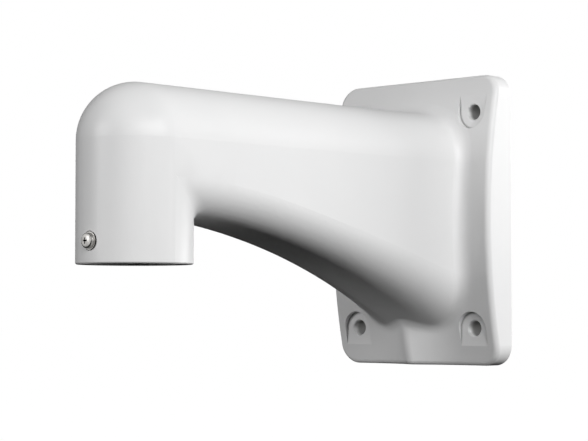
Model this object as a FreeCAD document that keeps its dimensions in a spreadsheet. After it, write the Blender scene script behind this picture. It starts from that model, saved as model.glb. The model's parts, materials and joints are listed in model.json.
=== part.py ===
import FreeCAD, Part
import math
import os

import Sketcher
from FreeCAD import Placement, Rotation, Vector

os.makedirs("parts", exist_ok=True)

# Camera wall bracket
# Origin: middle of the plate's back face, on the wall. X points out of the wall, Z up.
# A die-cast shell carries a camera's threaded neck at the end of a hollow arm, and a
# lock screw through the front of the tube keeps that neck from turning.

doc = FreeCAD.newDocument("CameraWallBracket")

# Points closer than this to a face lie on it
TOUCH = 1e-4

# How far a cutting shape runs past the face that it opens
OVERRUN = 1

# Bays between the sections that the arm is lofted through, behind and ahead of the
# place where its flanks become parallel
FLARE_BAYS = 9
STRAIGHT_BAYS = 6

# Driving dimensions, in millimetres
SIZES = [
    # Wall plate with an arched front
    ("plate_width", 120),
    ("plate_height", 168),
    ("plate_depth", 22),
    ("arch_radius", 334),
    ("plate_corner", 11.5),
    ("plate_edge", 3),
    ("wall_thick", 4),
    # Four wall screws in open pockets
    ("screw_row", 88),
    ("screw_column", 125),
    ("screw_hole", 9),
    ("hole_chamfer", 0.5),
    ("pocket_width", 19.4),
    ("pocket_floor", 14),
    ("boss_wall", 2.6),
    ("rib_thick", 3),
    ("rib_setback", 2),
    # Ridge below the arm
    ("ridge_height", 8),
    ("ridge_half", 33),
    ("ridge_crest", 6),
    # Arm
    ("reach", 237),
    ("arm_top", 64),
    ("foot_half", 39),
    ("foot_x", 30),
    ("flare_x", 150),
    ("top_fuller", 0.018),
    ("under_crown_ahead", 17),
    ("under_crown_z", -1.5),
    ("foot_bottom_z", -60.2),
    ("under_flat", 26),
    ("neck_fillet", 10),
    ("neck_side_fillet", 5),
    ("foot_fillet", 8),
    # Tube that takes the camera's neck, pipe thread G1 1/2
    ("tube_dia", 60),
    ("tube_mouth_z", -29),
    ("mouth_chamfer", 0.6),
    ("thread_minor", 44.845),
    ("thread_major", 47.803),
    ("thread_length", 24),
    ("relief_length", 3),
    # Lock screw M4 with a flat washer
    ("lock_height", 11.3),
    ("spot_dia", 10),
    ("spot_depth", 0.5),
    ("lock_dia", 4),
    ("lock_clearance", 0.1),
    ("head_dia", 8),
    ("head_height", 2.9),
    ("head_crown", 1.4),
    ("cross_span", 4.4),
    ("cross_slot", 1.1),
    ("cross_depth", 1.7),
    ("washer_dia", 9.4),
    ("washer_hole", 4.3),
    ("washer_thick", 0.8),
]

sheet = doc.addObject("Spreadsheet::Sheet", "Sizes")
for row, (alias, value) in enumerate(SIZES, start=1):
    sheet.set("A%d" % row, alias)
    sheet.set("B%d" % row, str(value))
    sheet.setAlias("B%d" % row, alias)
doc.recompute()


def size(alias):
    """The sheet's value for an alias, as a plain number."""
    return float(sheet.get(alias))


def bind(item, **expressions):
    """Ties properties of a document object to cells of the sheet."""
    for name, expression in expressions.items():
        item.setExpression(name.replace("__", "."), expression)
    return item


def box(name, length, width, height, x, y, z):
    """A Part box whose sides and corner follow expressions of the sheet."""
    item = doc.addObject("Part::Box", name)
    bind(item, Length=length, Width=width, Height=height)
    return bind(item, Placement__Base__x=x, Placement__Base__y=y, Placement__Base__z=z)


def cylinder_along_x(name, radius, length, x, y, z):
    """A Part cylinder that starts at x and runs along +X."""
    item = doc.addObject("Part::Cylinder", name)
    item.Placement = Placement(Vector(), Rotation(Vector(0, 1, 0), 90))
    bind(item, Radius=radius, Height=length)
    return bind(item, Placement__Base__x=x, Placement__Base__y=y, Placement__Base__z=z)


def boolean(kind, name, first, second):
    """A Part cut or common of two objects."""
    item = doc.addObject("Part::" + kind, name)
    item.Base = first
    item.Tool = second
    return item


def fuse(name, pieces):
    """A Part union of several objects."""
    item = doc.addObject("Part::MultiFuse", name)
    item.Shapes = pieces
    item.Refine = False
    return item


def tapered_fillet(name, base, radius_at, wanted):
    """A Part fillet on the wanted edges, with radius_at(point) at both ends of each."""
    doc.recompute()
    item = doc.addObject("Part::Fillet", name)
    item.Base = base
    rows = []
    for number, edge in enumerate(base.Shape.Edges, start=1):
        if wanted(edge):
            start = edge.valueAt(edge.FirstParameter)
            end = edge.valueAt(edge.LastParameter)
            rows.append((number, radius_at(start), radius_at(end)))
    item.Edges = rows
    return item


def fillet(name, base, radius, wanted):
    """A Part fillet of one radius on the edges for which wanted(edge) is true."""
    return tapered_fillet(name, base, lambda point: radius, wanted)


def lies_on(edge, shape):
    """True where both ends and the middle of an edge lie on a shape's skin."""
    middle = edge.valueAt((edge.FirstParameter + edge.LastParameter) / 2)
    points = [vertex.Point for vertex in edge.Vertexes] + [middle]
    skin = Part.Compound(shape.Faces)
    return all(skin.distToShape(Part.Vertex(point))[0] < TOUCH for point in points)


# Plate outline
# A flat-backed block with four rounded corners, which the arched front is cut from.
plate_blank = box(
    "PlateBlank",
    "Sizes.plate_depth + Sizes.ridge_height", "Sizes.plate_width", "Sizes.plate_height",
    "0", "-Sizes.plate_width / 2", "-Sizes.plate_height / 2")


def runs_along_x(edge):
    extent = edge.BoundBox
    return extent.XLength > TOUCH and extent.YLength < TOUCH and extent.ZLength < TOUCH


plate_outline = fillet("PlateOutline", plate_blank, size("plate_corner"), runs_along_x)


# Arm's outline seen from above and from the side
# The flanks spread toward the plate along an arc, and the underside follows a larger one.
def arm_half_width(x):
    """Half the arm's width, which follows an arc from the flare's start to the foot."""
    half_tube = size("tube_dia") / 2
    if x >= size("flare_x"):
        return half_tube
    run = size("flare_x") - size("foot_x")
    spread = size("foot_half") - half_tube
    flare_radius = (run ** 2 + spread ** 2) / (2 * spread)
    return half_tube + flare_radius - math.sqrt(flare_radius ** 2 - (size("flare_x") - x) ** 2)


def underside_height(x):
    """Height of the underside: an arc, level ahead of the tube, that ends at the foot."""
    crown_x = size("reach") + size("under_crown_ahead")
    run = crown_x - size("plate_depth")
    fall = size("under_crown_z") - size("foot_bottom_z")
    arc_radius = (run ** 2 + fall ** 2) / (2 * fall)
    return size("under_crown_z") - arc_radius + math.sqrt(arc_radius ** 2 - (crown_x - x) ** 2)


# Arched front
# The front is part of a drum with a level axis far behind the wall. Below the arm the
# drum carries a low ridge with hollow flanks, so the drum is turned from two profiles
# that meet inside the arm's foot.
def drum_profile(with_ridge):
    """The drum's section in the level plane: its front edge, and a line inside it."""
    depth = size("plate_depth")
    half = size("plate_width") / 2 + OVERRUN
    left_end = Vector(depth, -half, 0)
    right_end = Vector(depth, half, 0)
    if with_ridge:
        reach_y = size("ridge_half")
        crest_radius = size("ridge_crest")
        rise = size("ridge_height")
        # The flank's radius follows from tangency with the plate and with the crest
        flank_radius = (reach_y ** 2 + rise ** 2) / (2 * rise) - crest_radius
        slope = math.asin(reach_y / (flank_radius + crest_radius))
        join_y = crest_radius * math.sin(slope)
        join_x = depth + flank_radius * (1 - math.cos(slope))
        halfway = slope / 2
        flank_mid_y = reach_y - flank_radius * math.sin(halfway)
        flank_mid_x = depth + flank_radius * (1 - math.cos(halfway))
        front = [
            Part.LineSegment(left_end, Vector(depth, -reach_y, 0)).toShape(),
            Part.Arc(
                Vector(depth, -reach_y, 0),
                Vector(flank_mid_x, -flank_mid_y, 0),
                Vector(join_x, -join_y, 0)).toShape(),
            Part.Arc(
                Vector(join_x, -join_y, 0),
                Vector(depth + rise, 0, 0),
                Vector(join_x, join_y, 0)).toShape(),
            Part.Arc(
                Vector(join_x, join_y, 0),
                Vector(flank_mid_x, flank_mid_y, 0),
                Vector(depth, reach_y, 0)).toShape(),
            Part.LineSegment(Vector(depth, reach_y, 0), right_end).toShape(),
        ]
    else:
        front = [Part.LineSegment(left_end, right_end).toShape()]
    behind = Part.makePolygon([
        right_end, Vector(-OVERRUN, half, 0), Vector(-OVERRUN, -half, 0), left_end])
    return Part.Face(Part.Wire(front + behind.Edges))


def drum_sector(name, with_ridge, start_angle, angle):
    """A turned sector of the drum, with angles measured upward from the level plane."""
    axis_point = Vector(size("plate_depth") - size("arch_radius"), 0, 0)
    profile = drum_profile(with_ridge)
    profile.rotate(axis_point, Vector(0, -1, 0), start_angle)
    item = doc.addObject("Part::Feature", name)
    item.Shape = profile.revolve(axis_point, Vector(0, -1, 0), angle)
    return item


def drum_angle(height):
    """The angle about the drum's axis at which its front reaches a height."""
    return math.degrees(math.asin(height / size("arch_radius")))


# The two profiles meet halfway between the plate's middle and the arm's underside
end_angle = drum_angle(size("plate_height") / 2 + size("ridge_height"))
seam_angle = drum_angle(underside_height(size("plate_depth")) / 2)
plain_front = drum_sector("PlainFront", False, seam_angle, end_angle - seam_angle)
ridged_front = drum_sector("RidgedFront", True, -end_angle, seam_angle + end_angle)
drum = fuse("Drum", [plain_front, ridged_front])
plate_solid = boolean("Common", "PlateSolid", plate_outline, drum)


# Rounded front edge of the plate
# The edges wanted lie on the plate's outline, in front of its flat back.
def on_plate_front_edge(edge):
    in_front = edge.BoundBox.XMin > size("plate_edge")
    return in_front and not runs_along_x(edge) and lies_on(edge, plate_outline.Shape)


plate = fillet("Plate", plate_solid, size("plate_edge"), on_plate_front_edge)


# Arm
# The arm is lofted through sections square to X. Each has a round top, upright flanks
# and a flat underside with round corners. The top stays level, the underside follows a
# large arc, and the flanks spread toward the plate. The straight stretch is a loft of
# its own, so that its flanks are exactly flat where the tube meets them.
def top_quarter(half, centre_z, top_radius, side):
    """A quarter of the round top: a conic that is a true circle where the arm is narrow."""
    extra = half - top_radius
    fullness = math.sqrt(0.5) + size("top_fuller") * extra
    curve = Part.BSplineCurve()
    poles = [
        Vector(0, 0, centre_z + top_radius),
        Vector(0, side * half, centre_z + top_radius),
        Vector(0, side * half, centre_z),
    ]
    curve.buildFromPolesMultsKnots(poles, [3, 3], [0, 1], False, 2, [1, fullness, 1])
    return curve.toShape()


def arm_section(x, inset):
    """The closed section at x, moved inward by inset."""
    half = arm_half_width(x) - inset
    top_radius = size("tube_dia") / 2 - inset
    centre_z = size("arm_top") - size("tube_dia") / 2
    under_z = underside_height(x) + inset
    flat = size("under_flat") / 2
    corner = half - flat
    corner_z = under_z + corner
    lean = corner * math.sqrt(0.5)
    edges = [
        top_quarter(half, centre_z, top_radius, -1),
        top_quarter(half, centre_z, top_radius, 1),
        Part.LineSegment(Vector(0, half, centre_z), Vector(0, half, corner_z)).toShape(),
        Part.Arc(
            Vector(0, half, corner_z),
            Vector(0, flat + lean, corner_z - lean),
            Vector(0, flat, under_z)).toShape(),
        Part.LineSegment(Vector(0, flat, under_z), Vector(0, -flat, under_z)).toShape(),
        Part.Arc(
            Vector(0, -flat, under_z),
            Vector(0, -flat - lean, corner_z - lean),
            Vector(0, -half, corner_z)).toShape(),
        Part.LineSegment(Vector(0, -half, corner_z), Vector(0, -half, centre_z)).toShape(),
    ]
    wire = Part.Wire(Part.__sortEdges__(edges))
    wire.translate(Vector(x, 0, 0))
    return wire


def arm_loft(name, start_x, end_x, bays, inset):
    """A solid through evenly spaced sections, from start_x to end_x."""
    step = (end_x - start_x) / bays
    wires = [arm_section(start_x + step * index, inset) for index in range(bays + 1)]
    item = doc.addObject("Part::Feature", name)
    item.Shape = Part.makeLoft(wires, True, False)
    return item


flare_x = size("flare_x")
arm_flare = arm_loft("ArmFlare", size("plate_depth") / 2, flare_x, FLARE_BAYS, 0)
arm_straight = arm_loft("ArmStraight", flare_x, size("reach"), STRAIGHT_BAYS, 0)


# Elbow and tube
# The tube is turned about its upright axis. In front of that axis it closes with a
# quarter ball, which runs smoothly into the arm's round top. Behind it, the tube goes
# up into the arm.
def turned_half(name, outline, domed):
    """Half a turn of an outline of (radius, height) points about the tube's axis.

    The front half is domed: its last radius closes in a quarter circle.
    """
    points = [Vector(radius, 0, height) for radius, height in outline]
    radius, height = outline[-1]
    edges = [
        Part.LineSegment(first, second).toShape()
        for first, second in zip(points[:-1], points[1:])
    ]
    if domed:
        crown = Vector(0, 0, height + radius)
        lean = radius * math.sqrt(0.5)
        edges.append(Part.Arc(points[-1], Vector(lean, 0, height + lean), crown).toShape())
    else:
        crown = Vector(0, 0, height)
        edges.append(Part.LineSegment(points[-1], crown).toShape())
    edges.append(Part.LineSegment(crown, points[0]).toShape())
    profile = Part.Face(Part.Wire(edges))
    axis_point = Vector(size("reach"), 0, 0)
    profile.translate(axis_point)
    profile.rotate(axis_point, Vector(0, 0, 1), -90 if domed else 90)
    item = doc.addObject("Part::Feature", name)
    item.Shape = profile.revolve(axis_point, Vector(0, 0, 1), 180)
    return item


tube_radius = size("tube_dia") / 2
mouth_z = size("tube_mouth_z")
mouth_chamfer = size("mouth_chamfer")
elbow_z = size("arm_top") - tube_radius


def buried_top(inset):
    """A height inside the arm: between its flanks' lower end and the elbow's middle."""
    flank_foot = underside_height(size("reach")) + tube_radius - size("under_flat") / 2
    return (flank_foot + elbow_z) / 2 - inset / 2


def tube_outline(top):
    return [
        (0, mouth_z),
        (tube_radius - mouth_chamfer, mouth_z),
        (tube_radius, mouth_z + mouth_chamfer),
        (tube_radius, top),
    ]


tube_front = turned_half("TubeFront", tube_outline(elbow_z), True)
tube_back = turned_half("TubeBack", tube_outline(buried_top(0)), False)
raw_outside = fuse("RawOutside", [plate, arm_flare, arm_straight, tube_front, tube_back])


# Fillet round the arm's foot
# The edges wanted lie both on the plate and on the arm.
def on_arm_foot(edge):
    return lies_on(edge, plate.Shape) and lies_on(edge, arm_flare.Shape)


outside = fillet("Outside", raw_outside, size("foot_fillet"), on_arm_foot)

# Hollow inside
# Cables come through the open back of the plate, along the arm and down the tube. The
# mouth has a bore for the pipe thread, with a relief groove above it.
wall = size("wall_thick")
thread_top = mouth_z + size("thread_length")
relief_top = thread_top + size("relief_length")
bore_radius = size("thread_minor") / 2
entry_radius = size("thread_major") / 2
relief_radius = entry_radius + mouth_chamfer / 2
lead_in = entry_radius + mouth_chamfer - bore_radius


def bore_outline(top):
    return [
        (0, mouth_z - OVERRUN),
        (entry_radius + mouth_chamfer, mouth_z - OVERRUN),
        (entry_radius + mouth_chamfer, mouth_z),
        (bore_radius, mouth_z + lead_in),
        (bore_radius, thread_top),
        (relief_radius, thread_top + relief_radius - bore_radius),
        (relief_radius, relief_top),
        (tube_radius - wall, relief_top),
        (tube_radius - wall, top),
    ]


flare_hollow = arm_loft("FlareHollow", -OVERRUN, flare_x, FLARE_BAYS, wall)
straight_hollow = arm_loft("StraightHollow", flare_x, size("reach"), STRAIGHT_BAYS, wall)
tube_hollow_front = turned_half("TubeHollowFront", bore_outline(elbow_z), True)
tube_hollow_back = turned_half("TubeHollowBack", bore_outline(buried_top(wall)), False)

# Hollow back of the plate
# The recess follows the arched front at one wall thickness. Bosses round the four screw
# holes and two upright ribs are left standing in it.
recess_blank = box(
    "RecessBlank",
    "Sizes.plate_depth + Sizes.wall_thick",
    "Sizes.plate_width - 2 * Sizes.wall_thick",
    "Sizes.plate_height - 2 * Sizes.wall_thick",
    "-Sizes.wall_thick",
    "-Sizes.plate_width / 2 + Sizes.wall_thick",
    "-Sizes.plate_height / 2 + Sizes.wall_thick")
recess_outline = fillet(
    "RecessOutline", recess_blank, size("plate_corner") - wall, runs_along_x)
inner_drum = doc.addObject("Part::Cylinder", "InnerDrum")
inner_drum.Placement = Placement(Vector(), Rotation(Vector(1, 0, 0), 90))
bind(
    inner_drum,
    Radius="Sizes.arch_radius - Sizes.wall_thick",
    Height="Sizes.plate_width",
    Placement__Base__x="Sizes.plate_depth - Sizes.arch_radius",
    Placement__Base__y="Sizes.plate_width / 2")
recess_full = boolean("Common", "RecessFull", recess_outline, inner_drum)

kept = []
pockets = []
for side, side_sign in (("Left", "-"), ("Right", "")):
    screw_y = side_sign + "Sizes.screw_row / 2"
    rib = box(
        side + "Rib",
        "Sizes.plate_depth", "Sizes.rib_thick", "Sizes.screw_column",
        "Sizes.rib_setback", screw_y + " - Sizes.rib_thick / 2", "-Sizes.screw_column / 2")
    kept.append(rib)
    for level, level_sign in (("Lower", "-"), ("Upper", "")):
        screw_z = level_sign + "Sizes.screw_column / 2"
        corner_name = level + side
        kept.append(cylinder_along_x(
            corner_name + "Boss",
            "Sizes.pocket_width / 2 + Sizes.boss_wall", "Sizes.plate_depth",
            "0", screw_y, screw_z))
        pockets.append(cylinder_along_x(
            corner_name + "Pocket",
            "Sizes.pocket_width / 2", "Sizes.plate_depth",
            "Sizes.pocket_floor", screw_y, screw_z))
        outward = "0" if level == "Upper" else "-Sizes.plate_height / 2"
        pockets.append(box(
            corner_name + "PocketEnd",
            "Sizes.plate_depth", "Sizes.pocket_width", "Sizes.plate_height / 2",
            "Sizes.pocket_floor", screw_y + " - Sizes.pocket_width / 2",
            screw_z + " + " + outward))
        pockets.append(cylinder_along_x(
            corner_name + "ScrewHole",
            "Sizes.screw_hole / 2", "2 * Sizes.plate_depth",
            "-Sizes.plate_depth / 2", screw_y, screw_z))
        hole_mouth = doc.addObject("Part::Cone", corner_name + "HoleMouth")
        hole_mouth.Placement = Placement(Vector(), Rotation(Vector(0, 1, 0), 90))
        bind(
            hole_mouth,
            Radius1="Sizes.screw_hole / 2",
            Radius2="Sizes.screw_hole / 2 + 2 * Sizes.hole_chamfer",
            Height="2 * Sizes.hole_chamfer",
            Placement__Base__x="Sizes.pocket_floor - Sizes.hole_chamfer",
            Placement__Base__y=screw_y,
            Placement__Base__z=screw_z)
        pockets.append(hole_mouth)
kept_solids = fuse("KeptInRecess", kept)
recess = boolean("Cut", "Recess", recess_full, kept_solids)

# Seat and hole of the lock screw
lock_z = "Sizes.tube_mouth_z + Sizes.lock_height"
spot_face = cylinder_along_x(
    "SpotFace",
    "Sizes.spot_dia / 2", "Sizes.tube_dia",
    "Sizes.reach + Sizes.tube_dia / 2 - Sizes.spot_depth", "0", lock_z)
lock_hole = cylinder_along_x(
    "LockHole",
    "Sizes.lock_dia / 2 + Sizes.lock_clearance", "Sizes.tube_dia",
    "Sizes.reach", "0", lock_z)

plate_cuts = fuse("PlateCuts", [recess] + pockets)
plate_cut = boolean("Cut", "PlateCut", outside, plate_cuts)
cable_way = fuse(
    "CableWay", [flare_hollow, straight_hollow, tube_hollow_front, tube_hollow_back])
hollow_cut = boolean("Cut", "HollowCut", plate_cut, cable_way)


# Fillet behind the tube
# It is widest under the arm, and narrows up to where the tube runs into the arm's flanks.
def on_flank(point):
    return abs(abs(point.y) - size("tube_dia") / 2) < TOUCH


def behind_tube(edge):
    on_both = lies_on(edge, tube_back.Shape) and lies_on(edge, arm_straight.Shape)
    return on_both and not all(on_flank(vertex.Point) for vertex in edge.Vertexes)


def neck_radius(point):
    return size("neck_side_fillet") if on_flank(point) else size("neck_fillet")


necked = tapered_fillet("Necked", hollow_cut, neck_radius, behind_tube)

lock_cuts = fuse("LockCuts", [spot_face, lock_hole])
casting = boolean("Cut", "bracket_casting", necked, lock_cuts)


# Sketches of the turned and flat pieces
def origin_plane(body, role):
    """One of the body's own origin planes, found by its role."""
    return next(item for item in body.Origin.OriginFeatures if item.Role == role)


def new_sketch(body, name, role):
    """A sketch on an origin plane of the body."""
    sketch = body.newObject("Sketcher::SketchObject", name)
    sketch.AttachmentSupport = (origin_plane(body, role), [""])
    sketch.MapMode = "FlatFace"
    return sketch


def add_loop(sketch, points, arc_after=None, bulge=None):
    """Closed outline through the points; one side may be an arc through bulge."""
    count = len(points)
    for index in range(count):
        first = Vector(points[index][0], points[index][1], 0)
        second_point = points[(index + 1) % count]
        second = Vector(second_point[0], second_point[1], 0)
        if index == arc_after:
            sketch.addGeometry(Part.Arc(first, Vector(bulge[0], bulge[1], 0), second), False)
        else:
            sketch.addGeometry(Part.LineSegment(first, second), False)


# Lock screw
# A pan-head machine screw: its origin lies under the head, and X runs out of the head.
screw = doc.addObject("PartDesign::Body", "lock_screw")
seat_x = "Sizes.reach + Sizes.tube_dia / 2 - Sizes.spot_depth"
bind(screw, Placement__Base__x=seat_x + " + Sizes.washer_thick", Placement__Base__z=lock_z)

head_radius = size("head_dia") / 2
shank_radius = size("lock_dia") / 2
side_top = size("head_height") - size("head_crown")
seat_radius = tube_radius - size("spot_depth") + size("washer_thick")
shank_length = seat_radius - entry_radius
profile = new_sketch(screw, "ScrewProfile", "XZ_Plane")
crown_radius = (head_radius ** 2 + size("head_crown") ** 2) / (2 * size("head_crown"))
crown_mid_y = head_radius / 2
crown_mid_x = size("head_height") - crown_radius
crown_mid_x += math.sqrt(crown_radius ** 2 - crown_mid_y ** 2)
add_loop(
    profile,
    [
        (-shank_length, 0),
        (-shank_length, shank_radius),
        (0, shank_radius),
        (0, head_radius),
        (side_top, head_radius),
        (size("head_height"), 0),
    ],
    arc_after=4,
    bulge=(crown_mid_x, crown_mid_y))
turned = screw.newObject("PartDesign::Revolution", "ScrewTurned")
turned.Profile = profile
turned.ReferenceAxis = (profile, ["H_Axis"])
turned.Angle = 360

slot = size("cross_slot") / 2
span = size("cross_span") / 2
cross = new_sketch(screw, "CrossRecess", "YZ_Plane")
cross.AttachmentOffset = Placement(Vector(0, 0, size("head_height")), Rotation())
add_loop(cross, [
    (-slot, slot), (-slot, span), (slot, span), (slot, slot),
    (span, slot), (span, -slot), (slot, -slot), (slot, -span),
    (-slot, -span), (-slot, -slot), (-span, -slot), (-span, slot),
])
doc.recompute()
cross_pocket = screw.newObject("PartDesign::Pocket", "CrossPocket")
cross_pocket.Profile = cross
bind(cross_pocket, Length="Sizes.cross_depth")

# Flat washer under the screw's head
washer = doc.addObject("PartDesign::Body", "lock_washer")
bind(washer, Placement__Base__x=seat_x, Placement__Base__z=lock_z)
washer_ring = new_sketch(washer, "WasherRing", "YZ_Plane")
for alias in ("washer_dia", "washer_hole"):
    rim = Part.Circle(Vector(), Vector(0, 0, 1), size(alias) / 2)
    circle = washer_ring.addGeometry(rim, False)
    washer_ring.addConstraint(Sketcher.Constraint("Coincident", circle, 3, -1, 1))
    diameter = Sketcher.Constraint("Diameter", circle, size(alias))
    number = washer_ring.addConstraint(diameter)
    washer_ring.setExpression("Constraints[%d]" % number, "Sizes." + alias)
washer_pad = washer.newObject("PartDesign::Pad", "WasherPad")
washer_pad.Profile = washer_ring
bind(washer_pad, Length="Sizes.washer_thick")

doc.recompute()

# Checks and export
# Every object must be up to date, and each sub-part one valid solid.
for item in doc.Objects:
    faults = [state for state in item.State if state in ("Invalid", "Error")]
    if faults:
        raise RuntimeError("%s: %s" % (item.Label, faults))

for part in (casting, screw, washer):
    shape = part.Shape
    if not shape.isValid() or len(shape.Solids) != 1:
        raise RuntimeError("%s is not one valid solid" % part.Label)
    shape.exportStep("parts/%s.step" % part.Label)
    print("%s: %.1f cubic millimetres" % (part.Label, shape.Volume))
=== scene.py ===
import json
import math

import bpy
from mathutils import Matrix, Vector
from mathutils.kdtree import KDTree


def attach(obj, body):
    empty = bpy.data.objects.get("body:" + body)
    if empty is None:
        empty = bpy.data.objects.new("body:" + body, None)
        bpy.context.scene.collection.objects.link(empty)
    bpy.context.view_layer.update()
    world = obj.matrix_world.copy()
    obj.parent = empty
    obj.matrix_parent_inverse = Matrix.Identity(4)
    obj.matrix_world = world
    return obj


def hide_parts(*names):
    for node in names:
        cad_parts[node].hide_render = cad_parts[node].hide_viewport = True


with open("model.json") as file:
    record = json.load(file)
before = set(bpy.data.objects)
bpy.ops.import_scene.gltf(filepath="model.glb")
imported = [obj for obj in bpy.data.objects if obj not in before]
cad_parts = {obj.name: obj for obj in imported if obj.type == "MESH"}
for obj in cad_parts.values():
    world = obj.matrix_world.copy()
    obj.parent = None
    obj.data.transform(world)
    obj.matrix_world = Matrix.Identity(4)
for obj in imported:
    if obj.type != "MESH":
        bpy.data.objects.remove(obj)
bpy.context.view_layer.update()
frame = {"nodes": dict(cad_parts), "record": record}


# The casting
# Wall plate, arm and tube are one hollow aluminium die casting, powder coated in satin white.
# The screw holes and the tube's threaded mouth get painted shade, a darker grey, and no clear
# film.
mounts = {mount["name"]: mount for mount in frame["record"]["mounts"]}
camera_neck, wall_screws = mounts["camera_neck"], mounts["wall_screws"]

# Points nearer to each other than this are one point.
TOUCH = 1e-6
SMOOTH_ANGLE = math.radians(30)

# The pipe thread in the tube's mouth
TUBE_X = camera_neck["pos_m"][0]
RIM_Z = -0.029
THREAD_PITCH = 0.002309
THREAD_CREST_R = camera_neck["dims"]["r_mm"] / 1000
THREAD_DEPTH = 0.001479
THREAD_FLANK = math.radians(27.5)
THREAD_ROOT_WIDTH = 0.000385
THREAD_TURNS = 11.4
THREAD_STEPS = 90
TAP_CLEARANCE = 0.2 * THREAD_DEPTH

# The neck behind the tube, as a box whose effect fades in from its sides. In it a point's
# shading is the mean of the faces within reach that face roughly its way.
NECK_LOW = (0.193, -0.040, -0.020)
NECK_HIGH = (0.250, 0.040, 0.028)
NECK_FADE = 0.006
NECK_REACH = 0.005
NECK_SAME_WAY = 0.3

# The powder coat
COAT_WHITE = (0.83, 0.83, 0.83)
COAT_SHADE = (0.815, 0.816, 0.818)
COAT_ROUGHNESS = (0.45, 0.6)
FILM_ROUGHNESS = 0.38
FILM_WEIGHT = (0.9, 1)
FILM_SHINES, FILM_DULL = 0.4, 0.8
CLOUD_SCALE, CLOUD_DETAIL = 28, 3
PEEL_GRAIN_SCALE, PEEL_GRAIN_DEPTH = 800, 0.000008
PEEL_WAVE_SCALE, PEEL_WAVE_DEPTH = 210, 0.00002
# Painted shade in tight inner corners, grey where other faces are near
CORNER_PAINTED_SHADE = (0.4, 0.4, 0.4)
CORNER_REACH = 0.0018
CORNER_OPEN, CORNER_TIGHT = 0.9, 0.45

# Painted shade in the screw holes and the mouth. Its grey reaches a hair past their walls.
HOLE_PAINTED_SHADE = (0.33, 0.33, 0.325)
MOUTH_PAINTED_SHADE = (0.22, 0.22, 0.215)
BORE_SHADE_EDGE = 0.0001
HOLE_Y = wall_screws["dims"]["spacing_x_mm"] / 2 / 1000
HOLE_Z = wall_screws["dims"]["spacing_y_mm"] / 2 / 1000
HOLE_R = wall_screws["dims"]["hole_r_mm"] / 1000
PAST_HOLE, PAST_MOUTH = 0.00015, 0.0001
HOLE_MOUTH_X = 0.0138
HOLE_SHADE_REACH = 0.005
MOUTH_R = THREAD_CREST_R + THREAD_DEPTH
MOUTH_TOP_Z = 0

# The middle of a noise's range, and the noise of every grain
NOISE_MIDDLE = (0.3, 0.7)
GRAIN_DETAIL, GRAIN_ROUGHNESS = 2, 0.45


def start_edit(piece):
    """The piece alone is selected, and all of it is in edit mode."""
    bpy.ops.object.select_all(action="DESELECT")
    piece.select_set(True)
    bpy.context.view_layer.objects.active = piece
    bpy.ops.object.mode_set(mode="EDIT")
    bpy.ops.mesh.select_all(action="SELECT")


def pick(piece, test):
    """In edit mode, selects only the points whose place passes the test."""
    bpy.ops.mesh.select_all(action="DESELECT")
    bpy.ops.object.mode_set(mode="OBJECT")
    for point in piece.data.vertices:
        point.select = test(point.co)
    bpy.ops.object.mode_set(mode="EDIT")


def apply_modifiers(piece):
    """Applies the modifiers of the piece, from the first to the last."""
    bpy.ops.object.select_all(action="DESELECT")
    piece.select_set(True)
    bpy.context.view_layer.objects.active = piece
    for modifier in list(piece.modifiers):
        bpy.ops.object.modifier_apply(modifier=modifier.name)


def cut_away(piece, cutter):
    """Cuts the shape of the cutter out of the piece, and throws the cutter away."""
    cut = piece.modifiers.new("cut", "BOOLEAN")
    cut.operation = "DIFFERENCE"
    cut.solver = "EXACT"
    cut.object = cutter
    apply_modifiers(piece)
    bpy.data.objects.remove(cutter)


def thread_cutter(name, tip_r, back_r, tip_width, flank, pitch, turns, steps):
    """A V tool swept in a helix round Z. Its narrow tip runs at tip_r, its wide back at back_r."""
    reach = abs(tip_r - back_r)
    back_width = tip_width + 2 * reach * math.tan(flank)
    bpy.ops.object.select_all(action="DESELECT")
    bpy.ops.mesh.primitive_plane_add(size=1, rotation=(math.pi / 2, 0, 0))
    cutter = bpy.context.object
    cutter.name = name
    bpy.ops.object.transform_apply(location=True, rotation=True, scale=True)
    start_edit(cutter)
    bpy.ops.transform.resize(value=(reach, 1, back_width), center_override=(0, 0, 0))
    tip_side = 1 if tip_r > back_r else -1
    pick(cutter, lambda place: place.x * tip_side > 0)
    bpy.ops.transform.resize(value=(1, 1, tip_width / back_width), center_override=(0, 0, 0))
    bpy.ops.mesh.select_all(action="SELECT")
    bpy.ops.transform.translate(value=((tip_r + back_r) / 2, 0, 0))
    bpy.ops.mesh.delete(type="ONLY_FACE")
    bpy.ops.object.mode_set(mode="OBJECT")
    sweep = cutter.modifiers.new("sweep", "SCREW")
    sweep.axis = "Z"
    sweep.angle = math.tau * turns
    sweep.screw_offset = pitch * turns
    sweep.steps = sweep.render_steps = int(steps * turns)
    apply_modifiers(cutter)
    start_edit(cutter)
    bpy.ops.mesh.fill_holes(sides=0)
    bpy.ops.mesh.select_all(action="SELECT")
    bpy.ops.mesh.normals_make_consistent(inside=False)
    return cutter


cad_casting = frame["nodes"]["bracket_casting"]
bpy.ops.object.select_all(action="DESELECT")
casting = bpy.data.objects.new("casting", cad_casting.data.copy())
bpy.context.scene.collection.objects.link(casting)
start_edit(casting)
bpy.ops.mesh.remove_doubles(threshold=TOUCH)
bpy.ops.object.mode_set(mode="OBJECT")

tap = thread_cutter(
    "tap", MOUTH_R, THREAD_CREST_R - TAP_CLEARANCE, THREAD_ROOT_WIDTH, THREAD_FLANK,
    THREAD_PITCH, THREAD_TURNS, THREAD_STEPS)
bpy.ops.transform.translate(value=(TUBE_X, 0, RIM_Z - THREAD_PITCH))
bpy.ops.object.mode_set(mode="OBJECT")
cut_away(casting, tap)

# The cut thread is shaded by its own angles, and every other face keeps the casting's own
# smooth normals, which are found by the places of its three corners.
def corner_places(mesh, face):
    """The face's corners as (corner number, place in whole micrometres)."""
    return [(corner, tuple(round(axis * 1e6) for axis in mesh.vertices[point].co))
            for corner, point in zip(face.loop_indices, face.vertices)]


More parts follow.
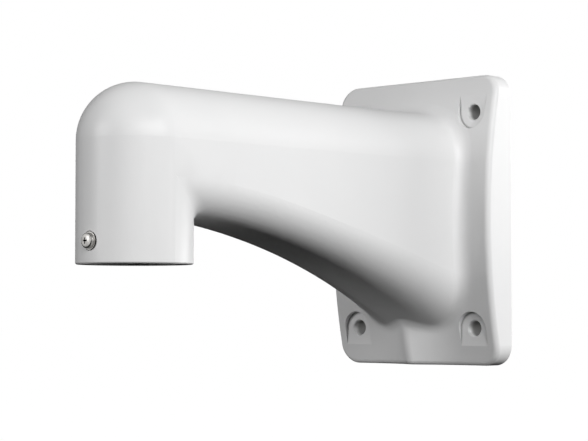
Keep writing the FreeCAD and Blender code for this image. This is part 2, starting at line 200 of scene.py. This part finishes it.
cad_normals = {}
for face in cad_casting.data.polygons:
    corners = corner_places(cad_casting.data, face)
    outline = frozenset(place for corner, place in corners)
    for corner, place in corners:
        cad_normals[outline, place] = cad_casting.data.corner_normals[corner].vector.copy()
start_edit(casting)
bpy.ops.mesh.customdata_custom_splitnormals_clear()
bpy.ops.object.mode_set(mode="OBJECT")
bpy.ops.object.shade_smooth_by_angle(angle=SMOOTH_ANGLE)
normals = [corner.vector.copy() for corner in casting.data.corner_normals]
for face in casting.data.polygons:
    corners = corner_places(casting.data, face)
    outline = frozenset(place for corner, place in corners)
    for corner, place in corners:
        normals[corner] = cad_normals.get((outline, place), normals[corner])


# Fillets of several sizes meet in the neck behind the tube. The powder runs smoothly over
# their seams, so the shading is evened out there.
def share_of_neck(place):
    """One well inside the neck, and nothing outside it."""
    share = 1
    for axis in range(3):
        inside = min(place[axis] - NECK_LOW[axis], NECK_HIGH[axis] - place[axis])
        share *= min(max(inside / NECK_FADE, 0), 1)
    return share


def side_of(point, normal):
    """Names one smooth side of a point, by the point and its normal there to three places."""
    return point, tuple(round(axis, 3) for axis in normal)


neck_faces = [face for face in casting.data.polygons if share_of_neck(face.center) > 0]
neck_tree = KDTree(len(neck_faces))
for number, face in enumerate(neck_faces):
    neck_tree.insert(face.center, number)
neck_tree.balance()
even_normals = {}
for face in neck_faces:
    for corner, point in zip(face.loop_indices, face.vertices):
        place, old = casting.data.vertices[point].co, normals[corner]
        if side_of(point, old) not in even_normals:
            even = Vector()
            for centre, number, gap in neck_tree.find_range(place, NECK_REACH):
                near = neck_faces[number]
                if near.normal.dot(old) > NECK_SAME_WAY:
                    even += near.normal * near.area * (1 - gap / NECK_REACH)
            share = share_of_neck(place) if even.length > 0 else 0
            even_normals[side_of(point, old)] = old.lerp(even.normalized(), share).normalized()
for face in neck_faces:
    for corner, point in zip(face.loop_indices, face.vertices):
        normals[corner] = even_normals[side_of(point, normals[corner])]
casting.data.normals_split_custom_set(normals)

# Grain and waves of a sprayed or plated skin, in steps of the object's own metres
skin_grain = bpy.data.node_groups.new("skin_grain", "ShaderNodeTree")
for socket_name, socket_type in (
        ("Place", "NodeSocketVector"), ("Grain Scale", "NodeSocketFloat"),
        ("Wave Scale", "NodeSocketFloat")):
    skin_grain.interface.new_socket(name=socket_name, in_out="INPUT", socket_type=socket_type)
for socket_name in ("Grain", "Waves"):
    skin_grain.interface.new_socket(
        name=socket_name, in_out="OUTPUT", socket_type="NodeSocketFloat")
grain_in = skin_grain.nodes.new("NodeGroupInput")
grain_out = skin_grain.nodes.new("NodeGroupOutput")
for scale_name, height_name in (("Grain Scale", "Grain"), ("Wave Scale", "Waves")):
    noise = skin_grain.nodes.new("ShaderNodeTexNoise")
    noise.inputs["Detail"].default_value = GRAIN_DETAIL
    noise.inputs["Roughness"].default_value = GRAIN_ROUGHNESS
    skin_grain.links.new(grain_in.outputs["Place"], noise.inputs["Vector"])
    skin_grain.links.new(grain_in.outputs[scale_name], noise.inputs["Scale"])
    skin_grain.links.new(noise.outputs["Fac"], grain_out.inputs[height_name])


def add_grain(tree, place, grain_scale, wave_scale):
    """Puts the skin's grain in a material, and gives its grain and its waves."""
    group = tree.nodes.new("ShaderNodeGroup")
    group.node_tree = skin_grain
    group.inputs["Grain Scale"].default_value = grain_scale
    group.inputs["Wave Scale"].default_value = wave_scale
    tree.links.new(place, group.inputs["Place"])
    return group.outputs["Grain"], group.outputs["Waves"]


def bump_on(tree, height, depth, normal=None):
    """A bump of the height's depth in metres, laid over the normal that is given."""
    bump = tree.nodes.new("ShaderNodeBump")
    bump.inputs["Strength"].default_value = 1
    bump.inputs["Distance"].default_value = depth
    tree.links.new(height, bump.inputs["Height"])
    if normal:
        tree.links.new(normal, bump.inputs["Normal"])
    return bump.outputs["Normal"]


def remap(tree, value, from_low, from_high, to_low=0, to_high=1, smooth=False):
    """Moves a value from one range to another, and keeps it within the second."""
    ranges = tree.nodes.new("ShaderNodeMapRange")
    ranges.interpolation_type = "SMOOTHSTEP" if smooth else "LINEAR"
    ranges.inputs["From Min"].default_value = from_low
    ranges.inputs["From Max"].default_value = from_high
    ranges.inputs["To Min"].default_value = to_low
    ranges.inputs["To Max"].default_value = to_high
    tree.links.new(value, ranges.inputs["Value"])
    return ranges.outputs["Result"]


def spread(tree, noise_height, low, high):
    """Stretches the middle of a noise to the range low to high."""
    return remap(tree, noise_height, *NOISE_MIDDLE, low, high)


def sums(tree, operation, *values):
    """A Math node on sockets and plain numbers, and what comes out of it."""
    node = tree.nodes.new("ShaderNodeMath")
    node.operation = operation
    for socket, value in zip(node.inputs, values):
        if isinstance(value, (int, float)):
            socket.default_value = value
        else:
            tree.links.new(value, socket)
    return node.outputs[0]


def off_axis(tree, across, along):
    """How far a place is from an axis, from its distances across and along."""
    return sums(tree, "SQRT", sums(
        tree, "ADD", sums(tree, "MULTIPLY", across, across),
        sums(tree, "MULTIPLY", along, along)))


def inside_round(tree, across, along, radius):
    """One inside a round bore whose axis is at zero across and along, nothing outside."""
    return remap(tree, off_axis(tree, across, along), radius + BORE_SHADE_EDGE, radius)


def mixed(tree, share, first, second):
    """The first colour where the share is nothing, and the second where it is one."""
    mix = tree.nodes.new("ShaderNodeMix")
    mix.data_type = "RGBA"
    tree.links.new(share, mix.inputs["Factor"])
    for socket_name, colour in (("A", first), ("B", second)):
        if isinstance(colour, tuple):
            mix.inputs[socket_name].default_value = (*colour, 1)
        else:
            tree.links.new(colour, mix.inputs[socket_name])
    return mix.outputs["Result"]


powder_coat = bpy.data.materials.new("white_powder_coat")
powder_coat.use_nodes = True
coat = powder_coat.node_tree
coat_shader = coat.nodes["Principled BSDF"]
coat_shader.inputs["Specular IOR Level"].default_value = 0
coat_shader.inputs["Coat Roughness"].default_value = FILM_ROUGHNESS
coat_place = coat.nodes.new("ShaderNodeTexCoord").outputs["Object"]
peel_grain, peel_waves = add_grain(coat, coat_place, PEEL_GRAIN_SCALE, PEEL_WAVE_SCALE)
thickness = coat.nodes.new("ShaderNodeTexNoise")
thickness.inputs["Scale"].default_value = CLOUD_SCALE
thickness.inputs["Detail"].default_value = CLOUD_DETAIL
coat.links.new(coat_place, thickness.inputs["Vector"])
clouds = thickness.outputs["Fac"]
coat.links.new(spread(coat, clouds, *COAT_ROUGHNESS), coat_shader.inputs["Roughness"])

# Painted shade: the four screw holes grey a little way in from their mouths, the tube's mouth all
# over.
axes = coat.nodes.new("ShaderNodeSeparateXYZ")
coat.links.new(coat_place, axes.inputs["Vector"])
in_hole = inside_round(
    coat,
    sums(coat, "SUBTRACT", sums(coat, "ABSOLUTE", axes.outputs["Y"]), HOLE_Y),
    sums(coat, "SUBTRACT", sums(coat, "ABSOLUTE", axes.outputs["Z"]), HOLE_Z),
    HOLE_R + PAST_HOLE)
in_hole = sums(coat, "MULTIPLY", in_hole, remap(
    coat, axes.outputs["X"], HOLE_MOUTH_X, HOLE_MOUTH_X - HOLE_SHADE_REACH, smooth=True))
in_mouth = inside_round(
    coat, sums(coat, "SUBTRACT", axes.outputs["X"], TUBE_X), axes.outputs["Y"],
    MOUTH_R + PAST_MOUTH)
in_mouth = sums(
    coat, "MULTIPLY", in_mouth, sums(coat, "LESS_THAN", axes.outputs["Z"], MOUTH_TOP_Z))
# Tight inner corners, as at the foot of a pocket's wall, are painted greyer: painted shade.
nearby = coat.nodes.new("ShaderNodeAmbientOcclusion")
nearby.only_local = True
nearby.inputs["Distance"].default_value = CORNER_REACH
corner_shade = remap(coat, nearby.outputs["AO"], CORNER_OPEN, CORNER_TIGHT)
skin = mixed(coat, spread(coat, clouds, 0, 1), COAT_SHADE, COAT_WHITE)
skin = mixed(coat, corner_shade, skin, CORNER_PAINTED_SHADE)
# Painted shade: grey in the screw holes and a darker grey in the tube's mouth.
skin = mixed(coat, in_hole, skin, HOLE_PAINTED_SHADE)
skin = mixed(coat, in_mouth, skin, MOUTH_PAINTED_SHADE)
coat.links.new(skin, coat_shader.inputs["Base Color"])

# The powder's clear film shines where it faces the eye, and is dull where it is seen aslant.
slant = coat.nodes.new("ShaderNodeLayerWeight").outputs["Facing"]
shine = remap(coat, slant, FILM_SHINES, FILM_DULL, 1, 0, smooth=True)
# The clear film is off wherever the holes and the mouth carry painted shade.
bores_without_film = sums(coat, "MAXIMUM", in_hole, in_mouth)
film = sums(
    coat, "MULTIPLY", sums(coat, "SUBTRACT", shine, bores_without_film), spread(coat, peel_waves, *FILM_WEIGHT))
coat.links.new(sums(coat, "MAXIMUM", film, 0), coat_shader.inputs["Coat Weight"])
waves = bump_on(coat, peel_waves, PEEL_WAVE_DEPTH)
orange_peel = bump_on(coat, peel_grain, PEEL_GRAIN_DEPTH, waves)
coat.links.new(orange_peel, coat_shader.inputs["Normal"])
casting.data.materials.clear()
casting.data.materials.append(powder_coat)
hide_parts("bracket_casting")
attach(casting, "root")


# The lock washer
# A flat washer of nickel-plated steel, punched from sheet. It sits in the round spot face in
# the front of the tube, under the lock screw's head.
LOCK_Z = -0.0177
RING_POINTS = 96
WASHER_BACK_X = 0.2665
WASHER_THICKNESS = 0.0008
WASHER_R = 0.0047
WASHER_HOLE_R = 0.00215
WASHER_EDGE = 0.00012
WASHER_SMOOTH_ANGLE = math.radians(40)
SHARP_ANGLE = math.radians(60)

# The plating, and painted shade on it by its place from the lock screw's axis
NICKEL_LIGHT = (0.44, 0.43, 0.415)
NICKEL_SHADE = (0.30, 0.295, 0.285)
NICKEL_ROUGHNESS = (0.34, 0.46)
TURNING_SCALE, TURNING_WOBBLE, TURNING_DETAIL = 1500, 1.5, 2
TURNING_DEPTH = 0.000003
PLATE_GRAIN_SCALE, PLATE_GRAIN_DEPTH = 4000, 0.000002
PLATE_WAVE_SCALE = 500
STEEL_PAINTED_SHADE = (0.03, 0.03, 0.028)
STEEL_SHADE_R = 0.00455
CROWN_X = 0.26885
UNSHADED_Y, UNSHADED_Z, UNSHADED_R = 0.0004, 0.0003, 0.0033
CROSS_BACK_X, CROSS_FRONT_X, CROSS_R = 0.2684, 0.2698, 0.0023


def first_ring(name, x, r):
    """A ring of points round the lock screw's axis, selected in edit mode."""
    bpy.ops.object.select_all(action="DESELECT")
    bpy.ops.mesh.primitive_circle_add(
        vertices=RING_POINTS, radius=r, location=(x, 0, LOCK_Z), rotation=(0, math.pi / 2, 0))
    ring = bpy.context.object
    ring.name = name
    bpy.ops.object.transform_apply(location=True, rotation=True, scale=True)
    start_edit(ring)
    return ring


def next_ring(step_x, grow):
    """Draws the selected ring on along the axis, and makes it grow or shrink by a factor."""
    bpy.ops.mesh.extrude_edges_move(TRANSFORM_OT_translate={"value": (step_x, 0, 0)})
    bpy.ops.transform.resize(value=(1, grow, grow), center_override=(0, 0, LOCK_Z))


def round_edges(piece, width, segments):
    """Rounds the piece's sharp edges, after its faces are all turned outwards."""
    bpy.ops.mesh.normals_make_consistent(inside=False)
    bpy.ops.object.mode_set(mode="OBJECT")
    rounding = piece.modifiers.new("rounding", "BEVEL")
    rounding.width = width
    rounding.segments = segments
    rounding.limit_method = "ANGLE"
    rounding.angle_limit = SHARP_ANGLE
    apply_modifiers(piece)


washer = first_ring("washer", WASHER_BACK_X, WASHER_R)
next_ring(0, WASHER_HOLE_R / WASHER_R)
next_ring(WASHER_THICKNESS, 1)
next_ring(0, WASHER_R / WASHER_HOLE_R)
next_ring(-WASHER_THICKNESS, 1)
bpy.ops.mesh.select_all(action="SELECT")
bpy.ops.mesh.remove_doubles(threshold=TOUCH)
round_edges(washer, WASHER_EDGE, segments=2)
bpy.ops.object.shade_smooth_by_angle(angle=WASHER_SMOOTH_ANGLE)

steel = bpy.data.materials.new("bright_steel")
steel.use_nodes = True
plating = steel.node_tree
plating_shader = plating.nodes["Principled BSDF"]
plating_shader.inputs["Metallic"].default_value = 1
plating_place = plating.nodes.new("ShaderNodeTexCoord").outputs["Object"]
on_axis = plating.nodes.new("ShaderNodeMapping")
on_axis.inputs["Location"].default_value = (0, 0, -LOCK_Z)
plating.links.new(plating_place, on_axis.inputs["Vector"])
turning = plating.nodes.new("ShaderNodeTexWave")
turning.wave_type = "RINGS"
turning.rings_direction = "X"
turning.inputs["Scale"].default_value = TURNING_SCALE
turning.inputs["Distortion"].default_value = TURNING_WOBBLE
turning.inputs["Detail"].default_value = TURNING_DETAIL
plating.links.new(on_axis.outputs["Vector"], turning.inputs["Vector"])
plate_grain, plate_waves = add_grain(
    plating, plating_place, PLATE_GRAIN_SCALE, PLATE_WAVE_SCALE)

# Painted shade and painted dark reflection: the steel is darkened round the washer's edge, in the
# cross recess and on the head's crown, outside a round that is a little off the middle.
axes = plating.nodes.new("ShaderNodeSeparateXYZ")
plating.links.new(on_axis.outputs["Vector"], axes.inputs["Vector"])
out, aside, above = axes.outputs["X"], axes.outputs["Y"], axes.outputs["Z"]
from_axis = off_axis(plating, aside, above)
off_centre = off_axis(
    plating, sums(plating, "SUBTRACT", aside, UNSHADED_Y),
    sums(plating, "SUBTRACT", above, UNSHADED_Z))
on_crown = sums(
    plating, "MULTIPLY", sums(plating, "GREATER_THAN", out, CROWN_X),
    sums(plating, "GREATER_THAN", off_centre, UNSHADED_R))
in_cross = sums(
    plating, "MULTIPLY", sums(plating, "LESS_THAN", out, CROSS_FRONT_X),
    sums(plating, "LESS_THAN", from_axis, CROSS_R))
in_cross = sums(
    plating, "MULTIPLY", in_cross, sums(plating, "GREATER_THAN", out, CROSS_BACK_X))
steel_shade = sums(plating, "MAXIMUM", sums(plating, "GREATER_THAN", from_axis, STEEL_SHADE_R), on_crown)
steel_shade = sums(plating, "MAXIMUM", steel_shade, in_cross)
nickel = mixed(plating, spread(plating, plate_waves, 0, 1), NICKEL_SHADE, NICKEL_LIGHT)
plating.links.new(mixed(plating, steel_shade, nickel, STEEL_PAINTED_SHADE), plating_shader.inputs["Base Color"])
plating.links.new(
    spread(plating, plate_grain, *NICKEL_ROUGHNESS), plating_shader.inputs["Roughness"])
turned = bump_on(plating, turning.outputs["Fac"], TURNING_DEPTH)
grained = bump_on(plating, plate_grain, PLATE_GRAIN_DEPTH, turned)
plating.links.new(grained, plating_shader.inputs["Normal"])
washer.data.materials.append(steel)
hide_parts("lock_washer")
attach(washer, "root")


# The lock screw
# An M4 pan-head screw with a cross recess, of nickel-plated steel. It goes through the washer
# and the tube's wall and presses on the camera's threaded neck, so that it can't turn.
HEAD_BACK_X = WASHER_BACK_X + WASHER_THICKNESS
HEAD_R = 0.004
HEAD_SIDE = 0.0015
HEAD_TAPER = 0.985
HEAD_CROWN = 0.0014
HEAD_EDGE = 0.00022
CROWN_RINGS = 10
SHANK_R = 0.00198
CAMERA_NECK_R = 0.0239
SHANK_TIP_X = TUBE_X + CAMERA_NECK_R
TIP_TAPER = 0.0004
SHANK_PITCH = 0.0007
SHANK_TURNS = 7
SHANK_STEPS = 36
SHANK_FLANK = math.radians(30)
GROOVE_DEPTH = 0.0004
GROOVE_WIDTH = 0.0001
DIE_CLEARANCE = 0.00008
RECESS_SPAN = 0.0044
RECESS_WIDTH = 0.0011
RECESS_DEPTH = 0.0017
RECESS_TAPER = 0.5

screw = first_ring("screw", HEAD_BACK_X, HEAD_R)
next_ring(HEAD_SIDE, HEAD_TAPER)
r, x = HEAD_R * HEAD_TAPER, 0
for step in range(1, CROWN_RINGS):
    turn = math.pi / 2 * step / CROWN_RINGS
    ring_r, ring_x = HEAD_R * HEAD_TAPER * math.cos(turn), HEAD_CROWN * math.sin(turn)
    next_ring(ring_x - x, ring_r / r)
    r, x = ring_r, ring_x
bpy.ops.mesh.extrude_edges_move(TRANSFORM_OT_translate={"value": (HEAD_CROWN - x, 0, 0)})
bpy.ops.mesh.merge(type="CENTER")
pick(screw, lambda place: place.x < HEAD_BACK_X + TOUCH)
next_ring(0, SHANK_R / HEAD_R)
next_ring(SHANK_TIP_X + TIP_TAPER - HEAD_BACK_X, 1)
next_ring(-TIP_TAPER, 1 - TIP_TAPER / SHANK_R)
bpy.ops.mesh.edge_face_add()
bpy.ops.mesh.select_all(action="SELECT")
round_edges(screw, HEAD_EDGE, segments=3)

die = thread_cutter(
    "die", SHANK_R - GROOVE_DEPTH, SHANK_R + DIE_CLEARANCE, GROOVE_WIDTH, SHANK_FLANK,
    SHANK_PITCH, SHANK_TURNS, SHANK_STEPS)
bpy.ops.transform.rotate(
    value=-math.pi / 2, orient_axis="Y", center_override=(0, 0, 0))
bpy.ops.transform.translate(value=(SHANK_TIP_X - SHANK_PITCH, 0, LOCK_Z))
bpy.ops.object.mode_set(mode="OBJECT")
cut_away(screw, die)

# The recess is cut by a small block with a wing drawn out of each of its four sides.
bpy.ops.object.select_all(action="DESELECT")
bpy.ops.mesh.primitive_cube_add(size=1, location=(0, 0, 0))
driver_point = bpy.context.object
driver_point.name = "driver_point"
start_edit(driver_point)
bpy.ops.transform.resize(
    value=(2 * RECESS_DEPTH, RECESS_WIDTH, RECESS_WIDTH), center_override=(0, 0, 0))
wing = (RECESS_SPAN - RECESS_WIDTH) / 2
inner, outer = 0.4 * RECESS_WIDTH, 0.6 * RECESS_WIDTH
for side in ((0, 1, 0), (0, -1, 0), (0, 0, 1), (0, 0, -1)):
    outwards = Vector(side)
    sideways = Vector((0, side[2], side[1]))
    pick(driver_point, lambda place: (
        place.dot(outwards) > inner and abs(place.dot(sideways)) < outer))
    bpy.ops.mesh.extrude_region_move(TRANSFORM_OT_translate={"value": outwards * wing})
pick(driver_point, lambda place: place.x < 0)
bpy.ops.transform.resize(value=(1, RECESS_TAPER, RECESS_TAPER), center_override=(0, 0, 0))
bpy.ops.mesh.select_all(action="SELECT")
bpy.ops.mesh.normals_make_consistent(inside=False)
bpy.ops.transform.translate(value=(HEAD_BACK_X + HEAD_SIDE + HEAD_CROWN, 0, LOCK_Z))
bpy.ops.object.mode_set(mode="OBJECT")
cut_away(screw, driver_point)
bpy.ops.object.shade_smooth_by_angle(angle=SMOOTH_ANGLE)
screw.data.materials.append(steel)
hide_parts("lock_screw")
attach(screw, "root")


# The studio
# The bracket hangs in the air as on its wall, over a pale floor that it shades. Soft round
# lamps stand round it, most of them on the camera's side, and the backdrop is plain white.
FLOOR_Z = -0.45
FLOOR_SIZE = 60
FLOOR_DULL = (0.03, 0.03, 0.03)
FLOOR_PALE = (0.3, 0.3, 0.3)
GLOW_NEAR, GLOW_FAR = 0.3, 2.5
GLOW_NEAR_STRENGTH, GLOW_FAR_STRENGTH = 0.8, 1
LAMP_AIM = Vector((0.13, 0, 0))
LAMP_DISTANCE = 1.8
LAMP_SIZE = 0.8

# The camera stands where the bracket's edges and screw holes fall on their places in the photo.
CAMERA_PLACE = (0.88636, 0.72248, -0.0527)
CAMERA_TILT, CAMERA_HEADING = math.radians(92.724), math.radians(133.273)
CAMERA_LENS, CAMERA_SENSOR = 116.84, 36

# Each lamp's direction round the bracket and its height in degrees, and its watts
LAMPS = (
    (96, 22, 13.4), (70, 20, 11.7), (160, 12, 15), (43, 20, 5), (-20, 15, 10), (-135, 8, 10))


def in_background(tree):
    """One for what the camera, gloss and glass see, and nothing for light on the object."""
    ray = tree.nodes.new("ShaderNodeLightPath")
    return sums(
        tree, "MAXIMUM", ray.outputs["Is Camera Ray"], sums(
            tree, "MAXIMUM", ray.outputs["Is Glossy Ray"], ray.outputs["Is Transmission Ray"]))


def diffuse(tree, colour):
    """A plain matt shader of the colour."""
    matt = tree.nodes.new("ShaderNodeBsdfDiffuse")
    matt.inputs["Color"].default_value = (*colour, 1)
    return matt.outputs["BSDF"]


def shader_mix(tree, share, first, second):
    """The first shader where the share is nothing, and the second where it is one."""
    mix = tree.nodes.new("ShaderNodeMixShader")
    tree.links.new(share, mix.inputs["Fac"])
    tree.links.new(first, mix.inputs[1])
    tree.links.new(second, mix.inputs[2])
    return mix.outputs["Shader"]


bpy.ops.object.select_all(action="DESELECT")
bpy.ops.mesh.primitive_plane_add(size=FLOOR_SIZE, location=(0, 0, FLOOR_Z))
floor = bpy.context.object
floor.name = "floor"
floor_paint = bpy.data.materials.new("floor")
floor_paint.use_nodes = True
paint = floor_paint.node_tree
paint.nodes.clear()
paint_out = paint.nodes.new("ShaderNodeOutputMaterial")
# The glow whitens the floor for the camera, a little less under the bracket.
far_off = paint.nodes.new("ShaderNodeVectorMath")
far_off.operation = "LENGTH"
paint.links.new(
    paint.nodes.new("ShaderNodeTexCoord").outputs["Object"], far_off.inputs[0])
glow = paint.nodes.new("ShaderNodeEmission")
glow_strength = remap(
    paint, far_off.outputs["Value"], GLOW_NEAR, GLOW_FAR, GLOW_NEAR_STRENGTH, GLOW_FAR_STRENGTH,
    smooth=True)
paint.links.new(glow_strength, glow.inputs["Strength"])
pale = paint.nodes.new("ShaderNodeAddShader")
paint.links.new(diffuse(paint, FLOOR_PALE), pale.inputs[0])
paint.links.new(glow.outputs["Emission"], pale.inputs[1])
from_above = shader_mix(
    paint, in_background(paint), diffuse(paint, FLOOR_DULL), pale.outputs["Shader"])
clear = paint.nodes.new("ShaderNodeBsdfTransparent").outputs["BSDF"]
backface = paint.nodes.new("ShaderNodeNewGeometry").outputs["Backfacing"]
paint.links.new(shader_mix(paint, backface, from_above, clear), paint_out.inputs["Surface"])
floor.data.materials.append(floor_paint)

world = bpy.data.worlds.new("backdrop")
bpy.context.scene.world = world
world.use_nodes = True
backdrop = world.node_tree.nodes["Background"]
backdrop.inputs["Color"].default_value = (1, 1, 1, 1)
world.node_tree.links.new(in_background(world.node_tree), backdrop.inputs["Strength"])

for direction, height, watts in LAMPS:
    light = bpy.data.lights.new("lamp_%d_%d" % (direction, height), "AREA")
    light.shape = "DISK"
    light.size = LAMP_SIZE
    light.energy = watts
    lamp = bpy.data.objects.new(light.name, light)
    bpy.context.scene.collection.objects.link(lamp)
    around, up = math.radians(direction), math.radians(height)
    outward = Vector((math.cos(around) * math.cos(up), math.sin(around) * math.cos(up),
                      math.sin(up)))
    lamp.location = LAMP_AIM + outward * LAMP_DISTANCE
    lamp.rotation_euler = (-outward).to_track_quat("-Z", "Y").to_euler()

camera_data = bpy.data.cameras.new("camera")
camera_data.sensor_width = CAMERA_SENSOR
camera_data.lens = CAMERA_LENS
camera = bpy.data.objects.new("camera", camera_data)
bpy.context.scene.collection.objects.link(camera)
camera.location = CAMERA_PLACE
camera.rotation_euler = (CAMERA_TILT, 0, CAMERA_HEADING)
bpy.context.scene.camera = camera
bpy.context.scene.view_settings.view_transform = "Standard"
